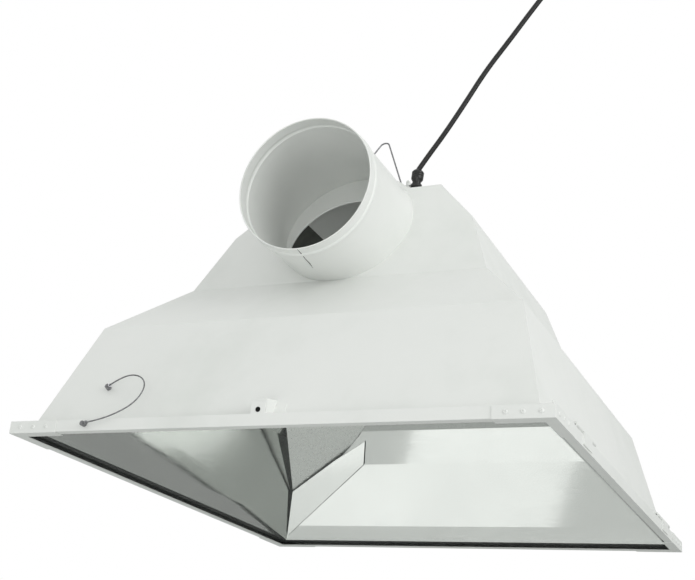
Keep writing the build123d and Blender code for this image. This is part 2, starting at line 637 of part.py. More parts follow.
# ---- cable gland, its leaning strain relief, and the mains lead up to the ceiling ------------
GLAND_HEX = 22.0
GLAND_TOP = ROOF_Z + SHEET + 12.0
with BuildPart() as gland_body:
    with BuildSketch(Plane.XY.offset(ROOF_Z + SHEET)):
        with Locations((GLAND_X, GLAND_Y)):
            RegularPolygon(GLAND_HEX / 2, 6, major_radius=False)
    extrude(amount=6.0)
    with BuildSketch(Plane.XY.offset(ROOF_Z + SHEET + 6.0)):
        with Locations((GLAND_X, GLAND_Y)):
            Circle(9.0)
    extrude(amount=6.0)
save(gland_body, "gland_body")

with BuildPart() as gland_locknut:
    with BuildSketch(Plane.XY.offset(ROOF_Z - 4.5)):
        with Locations((GLAND_X, GLAND_Y)):
            RegularPolygon(10.0, 6, major_radius=False)
    extrude(amount=4.3)
save(gland_locknut, "gland_locknut")

CORD_POINTS = [(87.0, GLAND_Y, 481.0), (101.0, GLAND_Y, 502.5), (125.0, GLAND_Y, 536.5),
               (157.0, GLAND_Y, 588.0), (188.0, GLAND_Y, 641.0), (225.0, GLAND_Y, 691.0),
               (262.5, GLAND_Y, 744.0), (286.0, GLAND_Y, 775.0)]
exit_dir = (Vector(*CORD_POINTS[1]) - Vector(*CORD_POINTS[0])).normalized()
with BuildPart() as strain_relief:
    with BuildSketch(Plane.XY.offset(GLAND_TOP)) as relief_base:
        with Locations((GLAND_X, GLAND_Y)):
            Circle(9.6)
    with BuildSketch(Plane(origin=CORD_POINTS[0], x_dir=(0, 1, 0), z_dir=exit_dir)) as relief_tip:
        Circle(5.6)
    loft(sections=[relief_base.sketch, relief_tip.sketch], ruled=True)
save(strain_relief, "strain_relief")


def route_radii(points, smallest):
    """Radius at each inner point: 0.45 of its shorter run over the tangent of half its turn."""
    radii = []
    for before, here, after in zip(points, points[1:], points[2:]):
        run_in = Vector(*here) - Vector(*before)
        run_out = Vector(*after) - Vector(*here)
        half_turn = math.radians(run_in.get_angle(run_out)) / 2
        radii.append(max(smallest, 0.45 * min(run_in.length, run_out.length) / math.tan(half_turn)))
    return radii


def cord_tube(label, points, radius):
    """A plain tube along the route, and a printout of its radii and of its volume's error."""
    radii = route_radii(points, radius * 2)
    with BuildPart() as tube:
        with BuildLine() as route:
            FilletPolyline(*points, radius=radii)
        with BuildSketch(Plane(origin=route.line @ 0, z_dir=route.line % 0)):
            Circle(radius)
        sweep(path=route.line)
    length = sum(edge.length for edge in route.line.edges())
    expected = math.pi * radius ** 2 * length
    print(label, "length", round(length, 1), "radii", [round(r, 1) for r in radii],
          "volume ratio", round(tube.part.volume / expected, 4))
    return tube


power_cord = cord_tube("power_cord", CORD_POINTS, CORD_RADIUS)
save(power_cord, "power_cord")

# The ceiling fitting that holds the lead's upper end.
cord_end = CORD_POINTS[-1]
end_dir = (Vector(*CORD_POINTS[-1]) - Vector(*CORD_POINTS[-2])).normalized()
with BuildPart() as ceiling_fitting:
    with BuildSketch(Plane(origin=cord_end, x_dir=(0, 1, 0), z_dir=end_dir)) as nose:
        Circle(6.0)
    rose_bottom = cord_end[2] + 16.0
    with BuildSketch(Plane.XY.offset(rose_bottom)) as rose_neck:
        with Locations((cord_end[0] + 13.0, cord_end[1])):
            Circle(14.0)
    loft(sections=[nose.sketch, rose_neck.sketch], ruled=True)
    with BuildSketch(Plane.XY.offset(rose_bottom)):
        with Locations((cord_end[0] + 13.0, cord_end[1])):
            Circle(30.0)
    extrude(amount=8.0)
save(ceiling_fitting, "ceiling_fitting")

# ---- safety lanyards: wire loops that stop the lens frame, one at the front, one at the rear --
ANCHOR_X = -262.0
UPPER_ANCHOR_Z = 73.0
LOWER_ANCHOR_Z = 10.0
SCREW_RADIUS = 3.5
LANYARD_POINTS = [(-255.0, -388.5, 75.0), (-234.0, -391.5, 85.0), (-210.0, -394.0, 87.0),
                  (-191.0, -399.0, 76.0), (-186.0, -406.5, 58.0), (-193.0, -415.0, 39.0),
                  (-209.0, -423.0, 25.0), (-231.0, -427.5, 15.0), (-254.0, -427.5, 11.0)]
front_lanyard = cord_tube("lanyard", LANYARD_POINTS, LANYARD_RADIUS)
save(front_lanyard, "front_lanyard")
with BuildPart() as rear_lanyard:
    add(front_lanyard.part.mirror(Plane.XZ))
save(rear_lanyard, "rear_lanyard")

skirt_slope_y = (FOLDS[0][2] - FOLDS[1][2]) / (FOLDS[1][0] - FOLDS[0][0])
anchor_y = -half_at(FOLDS, UPPER_ANCHOR_Z)[1] - 0.1
anchor_out = Vector(0, -1, skirt_slope_y).normalized()
with BuildPart() as upper_anchor:
    with BuildSketch(Plane(origin=(ANCHOR_X, anchor_y, UPPER_ANCHOR_Z), x_dir=(1, 0, 0), z_dir=anchor_out)):
        Circle(SCREW_RADIUS)
    extrude(amount=7.0)
with BuildPart() as lower_anchor:
    with BuildSketch(Plane.XZ.offset(RAIL_HALF_Y)):
        with Locations((ANCHOR_X, LOWER_ANCHOR_Z)):
            Circle(SCREW_RADIUS)
    extrude(amount=7.0)


def ferrule(start, end):
    """A crimped sleeve, wider than the wire, from an anchor to the wire's end."""
    direction = (Vector(*end) - Vector(*start)).normalized()
    with BuildSketch(Plane(origin=start, z_dir=direction)) as sleeve:
        Circle(2.4)
    extrude(to_extrude=sleeve.sketch, amount=(Vector(*end) - Vector(*start)).length - 0.8)


upper_start = Vector(ANCHOR_X, anchor_y, UPPER_ANCHOR_Z) + anchor_out * 5.0
with BuildPart() as upper_anchors:
    add(upper_anchor.part)
    ferrule((upper_start.X, upper_start.Y, upper_start.Z), LANYARD_POINTS[0])
with BuildPart() as lower_anchors:
    add(lower_anchor.part)
    ferrule((ANCHOR_X, -RAIL_HALF_Y - 5.6, LOWER_ANCHOR_Z), LANYARD_POINTS[-1])
for name, piece in (("upper", upper_anchors.part), ("lower", lower_anchors.part)):
    with BuildPart() as anchor_pair:
        add([piece, piece.mirror(Plane.XZ)])
    save(anchor_pair, f"lanyard_{name}_anchors")
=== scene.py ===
import json
import math

import bmesh
import bpy
import mathutils
from mathutils import Matrix, Vector


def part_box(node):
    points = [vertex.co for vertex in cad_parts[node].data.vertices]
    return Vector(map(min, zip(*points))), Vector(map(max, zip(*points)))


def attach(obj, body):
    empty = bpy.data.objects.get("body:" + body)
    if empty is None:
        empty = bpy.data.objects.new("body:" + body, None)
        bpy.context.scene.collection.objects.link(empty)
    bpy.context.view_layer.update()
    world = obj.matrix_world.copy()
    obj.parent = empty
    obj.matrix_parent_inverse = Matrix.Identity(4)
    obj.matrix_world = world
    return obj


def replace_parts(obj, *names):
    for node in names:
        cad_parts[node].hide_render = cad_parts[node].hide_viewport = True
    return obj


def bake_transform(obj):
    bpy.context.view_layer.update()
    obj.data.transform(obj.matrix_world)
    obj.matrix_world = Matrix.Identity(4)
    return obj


# The looks of an air-cooled grow-light hood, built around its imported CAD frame. Metres; +Z up.
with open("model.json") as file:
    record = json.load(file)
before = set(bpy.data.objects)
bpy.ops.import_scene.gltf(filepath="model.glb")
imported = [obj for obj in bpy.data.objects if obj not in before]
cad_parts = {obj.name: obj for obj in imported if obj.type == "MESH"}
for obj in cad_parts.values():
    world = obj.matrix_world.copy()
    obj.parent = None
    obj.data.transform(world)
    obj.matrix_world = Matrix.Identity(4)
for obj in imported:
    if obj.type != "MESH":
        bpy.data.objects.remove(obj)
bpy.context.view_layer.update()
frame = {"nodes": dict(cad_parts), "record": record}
scene = bpy.context.scene
MM = 0.001


# ---- camera -------------------------------------------------------------------------------
def make_camera(location, azimuth, elevation, roll, lens):
    """A camera that looks along azimuth (0 is +Y, towards +X is negative) and up by elevation, in degrees."""
    turn, lift, tilt = (math.radians(angle) for angle in (azimuth, elevation, roll))
    forward = Vector((-math.sin(turn) * math.cos(lift), math.cos(turn) * math.cos(lift), math.sin(lift)))
    level = forward.cross(Vector((0, 0, 1))).normalized()
    upright = level.cross(forward)
    right = math.cos(tilt) * level + math.sin(tilt) * upright
    up = math.cos(tilt) * upright - math.sin(tilt) * level
    camera = bpy.data.objects.new("camera", bpy.data.cameras.new("camera"))
    camera.matrix_world = Matrix.Translation(location) @ Matrix((right, up, -forward)).transposed().to_4x4()
    camera.data.lens = lens
    camera.data.sensor_width = 36.0
    camera.data.clip_end = 50.0
    scene.collection.objects.link(camera)
    scene.camera = camera


make_camera(location=(0.743, -1.7565, -0.3876), azimuth=25.36, elevation=20.89, roll=5.22, lens=64.3)
scene.view_settings.view_transform = "Standard"


# ---- node helpers -------------------------------------------------------------------------
class Shader:
    """A Principled material with short calls for the procedural nodes that feed it."""

    def __init__(self, name, **constants):
        self.material = bpy.data.materials.new(name)
        self.material.use_nodes = True
        self.tree = self.material.node_tree
        self.surface = self.tree.nodes["Principled BSDF"]
        for socket, value in constants.items():
            self.surface.inputs[socket.replace("_", " ")].default_value = value
        self.place = self.tree.nodes.new("ShaderNodeTexCoord").outputs["Object"]

    def link(self, source, target):
        self.tree.links.new(source, target)

    def stretched(self, scale):
        """Object coordinates scaled by (x, y, z)."""
        mapping = self.tree.nodes.new("ShaderNodeMapping")
        mapping.inputs["Scale"].default_value = scale
        self.link(self.place, mapping.inputs["Vector"])
        return mapping.outputs["Vector"]

    def noise(self, scale, detail=2.0, roughness=0.5, where=None):
        texture = self.tree.nodes.new("ShaderNodeTexNoise")
        texture.inputs["Scale"].default_value = scale
        texture.inputs["Detail"].default_value = detail
        texture.inputs["Roughness"].default_value = roughness
        self.link(where or self.place, texture.inputs["Vector"])
        return texture.outputs["Fac"]

    def ramp(self, source, stops):
        """Maps a 0-1 value through (position, colour) stops."""
        node = self.tree.nodes.new("ShaderNodeValToRGB")
        elements = node.color_ramp.elements
        for element, (position, colour) in zip(elements, (stops[0], stops[-1])):
            element.position = position
            element.color = (*colour, 1.0)
        for position, colour in stops[1:-1]:
            elements.new(position).color = (*colour, 1.0)
        self.link(source, node.inputs["Fac"])
        return node.outputs["Color"]

    def between(self, source, low, high, spread=(0.3, 0.7)):
        """Maps a 0-1 value to a number from low to high."""
        node = self.tree.nodes.new("ShaderNodeMapRange")
        node.inputs["From Min"].default_value, node.inputs["From Max"].default_value = spread
        node.inputs["To Min"].default_value, node.inputs["To Max"].default_value = low, high
        self.link(source, node.inputs["Value"])
        return node.outputs["Result"]

    def colour(self, source):
        self.link(source, self.surface.inputs["Base Color"])

    def roughness(self, source):
        self.link(source, self.surface.inputs["Roughness"])

    def bump(self, *layers):
        """Stacks (height, distance in metres, strength) layers into the surface normal."""
        normal = None
        for height, distance, strength in layers:
            node = self.tree.nodes.new("ShaderNodeBump")
            node.inputs["Distance"].default_value = distance
            node.inputs["Strength"].default_value = strength
            self.link(height, node.inputs["Height"])
            if normal is not None:
                self.link(normal, node.inputs["Normal"])
            normal = node.outputs["Normal"]
        self.link(normal, self.surface.inputs["Normal"])


# ---- materials ----------------------------------------------------------------------------
def powder_coat(name="powder_coat"):
    """Satin white powder coat: fine orange peel, faint handling marks."""
    paint = Shader(name, IOR=1.5)
    stains = paint.noise(5.0, detail=6.0, roughness=0.62)
    paint.colour(paint.ramp(stains, [(0.30, (0.735, 0.755, 0.728)), (0.50, (0.785, 0.800, 0.778)),
                                     (0.72, (0.800, 0.812, 0.792))]))
    paint.roughness(paint.between(paint.noise(28.0, detail=5.0), 0.34, 0.48))
    paint.bump((paint.noise(3.5, detail=1.0), 0.004, 0.10), (paint.noise(900.0, detail=1.0), 0.00015, 0.35))
    return paint


def paint_inner_shade(paint, threshold=-0.05, roof=0.4405):
    """Paints the faces of a shell sheet that look inwards, below the roof, near black: painted shade for the
    hood's dark inside, over the white paint.
    """
    nodes = paint.tree.nodes
    facing = nodes.new("ShaderNodeVectorMath")
    facing.operation = "DOT_PRODUCT"
    paint.link(paint.place, facing.inputs[0])
    paint.link(nodes.new("ShaderNodeTexCoord").outputs["Normal"], facing.inputs[1])
    inward = nodes.new("ShaderNodeMath")
    inward.operation = "LESS_THAN"
    inward.inputs[1].default_value = threshold
    paint.link(facing.outputs["Value"], inward.inputs[0])
    split = nodes.new("ShaderNodeSeparateXYZ")
    paint.link(paint.place, split.inputs[0])
    below = nodes.new("ShaderNodeMath")
    below.operation = "LESS_THAN"
    below.inputs[1].default_value = roof
    paint.link(split.outputs["Z"], below.inputs[0])
    # mask of the inward faces below the roof that get the painted shade
    inner_shade_mask = nodes.new("ShaderNodeMath")
    inner_shade_mask.operation = "MULTIPLY"
    paint.link(inward.outputs[0], inner_shade_mask.inputs[0])
    paint.link(below.outputs[0], inner_shade_mask.inputs[1])
    choice = nodes.new("ShaderNodeMix")
    choice.data_type = "RGBA"
    outside = paint.surface.inputs["Base Color"].links[0].from_socket
    # near-black with faint mottling: painted shade for the dark inside of the hood, not a colour of the sheet
    steel = paint.ramp(paint.noise(40.0, detail=4.0),
                       [(0.3, (0.075, 0.082, 0.072)), (0.7, (0.115, 0.122, 0.108))])
    paint.link(inner_shade_mask.outputs[0], choice.inputs["Factor"])
    paint.link(outside, choice.inputs["A"])
    paint.link(steel, choice.inputs["B"])
    paint.colour(choice.outputs["Result"])


def specular_sheet(name, tint, low, high):
    """Rolled specular aluminium: a slightly wavy mirror, hazier along its roll lines."""
    sheet = Shader(name, Metallic=1.0)
    clouds = sheet.noise(7.0, detail=4.0)
    sheet.colour(sheet.ramp(clouds, [(0.25, tuple(0.93 * c for c in tint)), (0.75, tint)]))
    lines = sheet.noise(60.0, detail=3.0, where=sheet.stretched((0.5, 0.5, 14.0)))
    sheet.roughness(sheet.between(lines, low, high))
    sheet.bump((sheet.noise(3.0, detail=1.0), 0.010, 0.22))
    return sheet.material


def hammertone():
    """Dimpled aluminium: the pebbles are in the mesh, and a finer grain sits on them."""
    sheet = Shader("hammertone", Metallic=1.0)
    grain = sheet.noise(340.0, detail=3.0)
    sheet.colour(sheet.ramp(grain, [(0.3, (0.83, 0.85, 0.82)), (0.7, (0.93, 0.945, 0.92))]))
    sheet.roughness(sheet.between(grain, 0.24, 0.40))
    sheet.bump((grain, 0.0004, 0.4))
    return sheet.material


def clear_glass(name, alpha, colour):
    """Clear glass as a see-through sheen, faintly smeared."""
    glass = Shader(name, Alpha=alpha, Base_Color=(*colour, 1.0), IOR=1.45)
    glass.roughness(glass.between(glass.noise(12.0, detail=5.0), 0.02, 0.10))
    return glass.material


def brushed_metal(name, light, dark, low, high):
    """Drawn or zinc-plated steel with fine streaks."""
    metal = Shader(name, Metallic=1.0)
    grain = metal.noise(220.0, detail=4.0)
    metal.colour(metal.ramp(grain, [(0.3, dark), (0.7, light)]))
    metal.roughness(metal.between(grain, low, high))
    metal.bump((grain, 0.0001, 0.3))
    return metal.material


def moulded(name, light, dark, low, high, grain_scale=600.0):
    """Moulded plastic, rubber or ceramic with a fine surface grain."""
    plastic = Shader(name)
    plastic.colour(plastic.ramp(plastic.noise(30.0, detail=5.0), [(0.3, dark), (0.7, light)]))
    grain = plastic.noise(grain_scale, detail=2.0)
    plastic.roughness(plastic.between(grain, low, high))
    plastic.bump((grain, 0.0002, 0.3))
    return plastic.material


materials = {
    "white_paint": powder_coat().material,
    "specular_aluminium": specular_sheet("specular_aluminium", (0.72, 0.74, 0.715), 0.05, 0.13),
    "hammertone_aluminium": hammertone(),
    "quartz": clear_glass("quartz", 0.22, (0.92, 0.95, 0.95)),
    "lens_glass": clear_glass("lens_glass", 0.05, (0.80, 0.86, 0.82)),
    "arc_tube_ceramic": moulded("arc_tube_ceramic", (0.80, 0.77, 0.71), (0.72, 0.69, 0.63), 0.5, 0.7),
    "socket_ceramic": moulded("socket_ceramic", (0.84, 0.82, 0.77), (0.78, 0.76, 0.71), 0.12, 0.3, 90.0),
    "galvanised": brushed_metal("galvanised", (0.62, 0.64, 0.65), (0.48, 0.50, 0.52), 0.3, 0.5),
    "lead_sleeve": moulded("lead_sleeve", (0.78, 0.76, 0.70), (0.62, 0.60, 0.55), 0.7, 0.9, 900.0),
    "steel": brushed_metal("steel", (0.36, 0.36, 0.37), (0.16, 0.16, 0.17), 0.28, 0.5),
    "black_steel": brushed_metal("black_steel", (0.035, 0.035, 0.035), (0.012, 0.012, 0.012), 0.45, 0.65),
    "black_plastic": moulded("black_plastic", (0.020, 0.020, 0.021), (0.010, 0.010, 0.010), 0.35, 0.55),
    "black_rubber": moulded("black_rubber", (0.016, 0.016, 0.016), (0.009, 0.009, 0.009), 0.32, 0.44, 2600.0),
    "white_plastic": moulded("white_plastic", (0.82, 0.82, 0.80), (0.76, 0.76, 0.74), 0.3, 0.45),
}
# the shell's white paint, with painted shade on its inward faces below the roof
shell_paint_inner_shade = powder_coat("shell_paint_inner_shade")
paint_inner_shade(shell_paint_inner_shade)
slot_of = {part["node"]: part["material_slot"] for part in frame["record"]["subparts"]}
body_of = {node: body for body, nodes in frame["record"]["behaviour"]["bodies"].items() for node in nodes}
for node, piece in frame["nodes"].items():
    piece.data.materials.clear()
    piece.data.materials.append(materials[slot_of[node]])


# ---- mesh helpers -------------------------------------------------------------------------
def add_piece(name, mesh, body, slot):
    """Adds a finished mesh or curve as a piece on a body, in a slot's material."""
    piece = bpy.data.objects.new(name, mesh)
    scene.collection.objects.link(piece)
    piece.data.materials.clear()
    piece.data.materials.append(materials[slot])
    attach(piece, body)
    return piece


def shade(mesh, angle=32.0):
    """Smooth shading that keeps edges sharper than the angle."""
    mesh.polygons.foreach_set("use_smooth", [True] * len(mesh.polygons))
    mesh.set_sharp_from_angle(angle=math.radians(angle))


FOLD_ANGLES = (math.radians(8), math.radians(65))
EDGE_ANGLE = math.radians(70)
SHORTEST_FOLD = 0.05
FLAT_ANGLE = math.radians(0.6)
SAME_PLACE = 1e-6


def fold_angle(edge):
    return edge.calc_face_angle(0.0) if len(edge.link_faces) == 2 else 0.0


def soften(node, fold=0.0, edge=0.0003):
    """Replaces a CAD node by the same shape with rounded folds and eased sheet edges."""
    solid = bmesh.new()
    solid.from_mesh(frame["nodes"][node].data)
    bmesh.ops.remove_doubles(solid, verts=solid.verts, dist=SAME_PLACE)
    bmesh.ops.dissolve_limit(solid, angle_limit=FLAT_ANGLE, verts=solid.verts, edges=solid.edges)
    if fold:
        folds = [e for e in solid.edges if FOLD_ANGLES[0] < fold_angle(e) < FOLD_ANGLES[1]
                 and e.calc_length() > SHORTEST_FOLD]
        bmesh.ops.bevel(solid, geom=folds, offset=fold, segments=3, profile=0.5, affect="EDGES",
                        clamp_overlap=True)
    sharp = [e for e in solid.edges if fold_angle(e) > EDGE_ANGLE]
    bmesh.ops.bevel(solid, geom=sharp, offset=edge, segments=2, profile=0.5, affect="EDGES",
                    clamp_overlap=True)
    mesh = bpy.data.meshes.new(f"{node}_sheet")
    solid.to_mesh(mesh)
    solid.free()
    shade(mesh)
    piece = add_piece(f"{node}_sheet", mesh, body_of[node], slot_of[node])
    piece.modifiers.new("even normals", "WEIGHTED_NORMAL").keep_sharp = True
    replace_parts(piece, node)
    return piece


def frames_along(points):
    """A (point, side, other side) frame at each point of a path, turning as little as possible."""
    made = []
    side = None
    for index, point in enumerate(points):
        ahead = points[min(index + 1, len(points) - 1)] - points[max(index - 1, 0)]
        ahead.normalize()
        if side is None:
            side = ahead.orthogonal().normalized()
        side = (side - side.dot(ahead) * ahead).normalized()
        made.append((point, side, ahead.cross(side)))
    return made


def tube(solid, points, radii, sides=16, twist=None, offset=0.0):
    """Adds a capped tube to a bmesh. radii is one number or one per point; with twist, in radians per
    point, the tube winds round the path at the offset, as a rope's strand does."""
    if not hasattr(radii, "__len__"):
        radii = [radii] * len(points)
    if twist is not None:
        start, step = twist
        points = [point + offset * (math.cos(start + step * i) * side + math.sin(start + step * i) * other)
                  for i, (point, side, other) in enumerate(frames_along(points))]
    rings = []
    for (point, side, other), radius in zip(frames_along(points), radii):
        ring = []
        for k in range(sides):
            angle = 2 * math.pi * k / sides
            ring.append(solid.verts.new(point + radius * (math.cos(angle) * side + math.sin(angle) * other)))
        rings.append(ring)
    for lower, upper in zip(rings, rings[1:]):
        for k in range(sides):
            solid.faces.new((lower[k], lower[(k + 1) % sides], upper[(k + 1) % sides], upper[k]))
    solid.faces.new(list(reversed(rings[0])))
    solid.faces.new(rings[-1])


def turned(solid, origin, axis, profile, sides=24):
    """Adds a shape turned round an axis: profile is (radius, height) pairs, from tip to tip."""
    axis = Vector(axis).normalized()
    side = axis.orthogonal().normalized()
    other = axis.cross(side)
    rings = []
    for radius, height in profile:
        centre = Vector(origin) + height * axis
        if radius == 0:
            rings.append([solid.verts.new(centre)])
            continue
        rings.append([solid.verts.new(centre + radius * (math.cos(a) * side + math.sin(a) * other))
                      for a in (2 * math.pi * k / sides for k in range(sides))])
    for lower, upper in zip(rings, rings[1:]):
        for k in range(sides):
            corners = [lower[k % len(lower)], lower[(k + 1) % len(lower)],
                       upper[(k + 1) % len(upper)], upper[k % len(upper)]]
            unique = list(dict.fromkeys(corners))
            if len(unique) > 2:
                solid.faces.new(unique)


def finished(solid, name, body, slot, angle=32.0):
    """Turns a bmesh into a smooth-shaded piece."""
    bmesh.ops.recalc_face_normals(solid, faces=solid.faces)
    mesh = bpy.data.meshes.new(name)
    solid.to_mesh(mesh)
    solid.free()
    shade(mesh, angle)
    return add_piece(name, mesh, body, slot)


# ---- cords: the mains lead and the two safety lanyards ---------------------------------------
def route_curve(name, points_mm):
    """A smooth curve through space with the route's points as its control points."""
    curve = bpy.data.curves.new(name, "CURVE")
    curve.dimensions = "3D"
    curve.resolution_u = 24
    spline = curve.splines.new("NURBS")
    spline.points.add(len(points_mm) - 1)
    for control, point in zip(spline.points, points_mm):
        control.co = (*(MM * c for c in point), 1.0)
    spline.order_u = 3
    spline.use_endpoint_u = True
    return curve


def path_of(curve):
    """The points and the length of a curve's own line."""
    holder = bpy.data.objects.new("route", curve)
    line = bpy.data.meshes.new_from_object(holder)
    points = [v.co.copy() for v in line.vertices]
    bpy.data.objects.remove(holder)
    bpy.data.meshes.remove(line)
    return points, sum((b - a).length for a, b in zip(points, points[1:]))


CORD_ROUTE = [(87.0, -156.0, 481.0), (101.0, -156.0, 502.5), (125.0, -156.0, 536.5),
              (157.0, -156.0, 588.0), (188.0, -156.0, 641.0), (225.0, -156.0, 691.0),
              (262.5, -156.0, 744.0), (286.0, -156.0, 775.0)]
LANYARD_ROUTE = [(-255.0, -388.5, 75.0), (-234.0, -391.5, 85.0), (-210.0, -394.0, 87.0),
                 (-191.0, -399.0, 76.0), (-186.0, -406.5, 58.0), (-193.0, -415.0, 39.0),
                 (-209.0, -423.0, 25.0), (-231.0, -427.5, 15.0), (-254.0, -427.5, 11.0)]


LEAD_DIAMETER = 8.0 * MM
STRAND_RADIUS = 0.36 * MM
STRAND_OFFSET = 0.64 * MM
STRAND_TURN = 0.30


def mains_lead():
    """The black lead from the gland up to the ceiling fitting."""
    curve = route_curve("mains_lead", CORD_ROUTE)
    _, length = path_of(curve)
    curve.bevel_depth = LEAD_DIAMETER / 2
    curve.bevel_resolution = 6
    curve.use_fill_caps = True
    lead = add_piece("mains_lead", curve, "hood", "black_rubber")
    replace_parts(lead, "power_cord")


def lanyard(name, node, sign):
    """A seven-strand wire lanyard from the skirt to the lens frame; sign mirrors it to the rear."""
    route = [(x, sign * y, z) for x, y, z in LANYARD_ROUTE]
    points, length = path_of(route_curve(name, route))
    solid = bmesh.new()
    tube(solid, points, STRAND_RADIUS, sides=8)
    for k in range(6):
        tube(solid, points, STRAND_RADIUS, sides=8, twist=(k * math.pi / 3, STRAND_TURN),
             offset=STRAND_OFFSET)
    bmesh.ops.recalc_face_normals(solid, faces=solid.faces)
    mesh = bpy.data.meshes.new(name)
    solid.to_mesh(mesh)
    solid.free()
    shade(mesh, 60.0)
    piece = bpy.data.objects.new(name, mesh)
    scene.collection.objects.link(piece)
    piece.data.materials.append(materials["steel"])
    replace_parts(piece, node)
    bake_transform(piece)


mains_lead()
lanyard("front_lanyard_wire", "front_lanyard", 1)
lanyard("rear_lanyard_wire", "rear_lanyard", -1)


# ---- the gland and its boot -------------------------------------------------------------------
HEAD_RADIUS = 0.0094
HEAD_RIBS = 3


def gland():
    """A domed gland on its flange, and the boot that leans with the lead: slim foot, ribbed head."""
    low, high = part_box("gland_body")
    centre = [(low[0] + high[0]) / 2, (low[1] + high[1]) / 2, low[2]]
    solid = bmesh.new()
    turned(solid, centre, (0, 0, 1), [(0.0, 0.0), (0.0088, 0.0), (0.0092, 0.0010), (0.0092, 0.0044),
                                      (0.0086, 0.0052), (0.0066, 0.0054), (0.0064, 0.0064),
                                      (0.0082, 0.0068), (0.0090, 0.0080), (0.0090, 0.0112),
                                      (0.0086, 0.0120), (0.0, 0.0120)], sides=32)
    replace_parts(finished(solid, "gland_dome", "hood", "black_plastic"), "gland_body")
    start = Vector((centre[0], centre[1], high[2]))
    exit_point = Vector(MM * c for c in CORD_ROUTE[0])
    axis = exit_point - start
    length = axis.length
    profile = [(0.0, 0.0), (0.0064, 0.0), (0.0066, 0.20 * length), (0.0090, 0.34 * length),
               (HEAD_RADIUS, 0.40 * length)]
    for rib in range(HEAD_RIBS):
        foot, top = (length * (0.42 + 0.14 * (rib + share)) for share in (0.1, 0.7))
        profile += [(HEAD_RADIUS, foot), (HEAD_RADIUS, top), (0.0088, top + 0.02 * length)]
    profile += [(0.0078, 0.88 * length), (0.0056, 0.95 * length), (0.0044, length), (0.0, length)]
    solid = bmesh.new()
    turned(solid, start, axis, profile, sides=32)
    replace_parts(finished(solid, "strain_relief_boot", "hood", "black_rubber"), "strain_relief")


gland()


# ---- rivets, hems, and seams drawn as painted shadow lines ------------------------------------
RIVET_STEPS = (0.017, 0.039, 0.060)
RIVET_HEIGHT = 0.0089
RIVET_PROFILE = [(0.0, -0.0003), (0.0032, -0.0003), (0.0032, 0.0002), (0.0029, 0.0006), (0.0022, 0.0010),
                 (0.0014, 0.0012), (0.0011, 0.0011), (0.0009, 0.0004), (0.0, 0.0004)]


def rivets():
    """Domed blind rivets, each with its hollow mandrel, round the frame's corners and on the roof."""
    half_x, half_y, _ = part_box("front_right_corner_bracket")[1]
    half_y = abs(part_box("front_right_corner_bracket")[0][1])
    corner = bmesh.new()
    for sign_x in (-1, 1):
        for sign_y in (-1, 1):
            for step in RIVET_STEPS:
                turned(corner, (sign_x * (half_x - step), sign_y * half_y, RIVET_HEIGHT),
                       (0, sign_y, 0), RIVET_PROFILE, sides=20)
                turned(corner, (sign_x * half_x, sign_y * (half_y - step), RIVET_HEIGHT),
                       (sign_x, 0, 0), RIVET_PROFILE, sides=20)
    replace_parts(finished(corner, "corner_rivet_heads", "lens_door", "white_paint", 50.0), "corner_rivets")
    low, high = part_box("hanger_rivets")
    inset = RIVET_PROFILE[1][0]
    roof = bmesh.new()
    for x in (low[0] + inset, high[0] - inset):
        for y in (low[1] + inset, high[1] - inset):
            turned(roof, (x, y, low[2]), (0, 0, 1), RIVET_PROFILE, sides=20)
    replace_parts(finished(roof, "hanger_rivet_heads", "hood", "white_paint", 50.0), "hanger_rivets")


# the collar, the hole behind it and the bead round it, as the frame has them
DUCT_Z = 0.369
DUCT_RADIUS = 0.1016
COLLAR_INNER = 0.1007
WALL_HOLE_Z = 0.335
WALL_HOLE_RADIUS = 0.090
WALL_LIP = 0.004
WALL_SLOPE = 0.396
WALL_STANDOFF = 0.0021
HOLE_MIDDLE_Z = 0.348
BEAD_FROM_MOUTH = 0.0207
BEAD_HALF_WIDTH = 0.0045
BEAD_HEIGHT = 0.0020
LIP_RADIUS = 0.0010
HEM_RADIUS = 0.0019
LIP_POINTS = 128


def hole_outline(count=96):
    """Points (x, z) round the air hole: the wall's circle, held inside the collar's bore."""
    outline = []
    middle = Vector((0.0, HOLE_MIDDLE_Z))
    for k in range(count):
        angle = 2 * math.pi * k / count
        heading = Vector((math.cos(angle), math.sin(angle)))
        reach = min(reach_to_circle(middle, heading, WALL_HOLE_Z, WALL_HOLE_RADIUS),
                    reach_to_circle(middle, heading, DUCT_Z, COLLAR_INNER - WALL_LIP))
        outline.append(middle + reach * heading)
    return outline


def reach_to_circle(start, heading, centre_z, radius):
    """Distance from start, along heading, to a circle centred at (0, centre_z) that encloses start."""
    offset = start - Vector((0.0, centre_z))
    along = offset.dot(heading)
    return -along + math.sqrt(along * along - offset.dot(offset) + radius * radius)


def closed_tube(solid, points, radius, sides=10):
    """Adds a tube round a closed loop of points."""
    count = len(points)
    rings = []
    for index, point in enumerate(points):
        ahead = (points[(index + 1) % count] - points[index - 1]).normalized()
        side = ahead.cross(Vector((0, 1, 0))).normalized()
        other = ahead.cross(side)
        rings.append([solid.verts.new(point + radius * (math.cos(a) * side + math.sin(a) * other))
                      for a in (2 * math.pi * k / sides for k in range(sides))])
    for index in range(count):
        lower, upper = rings[index], rings[(index + 1) % count]
        for k in range(sides):
            solid.faces.new((lower[k], lower[(k + 1) % sides], upper[(k + 1) % sides], upper[k]))


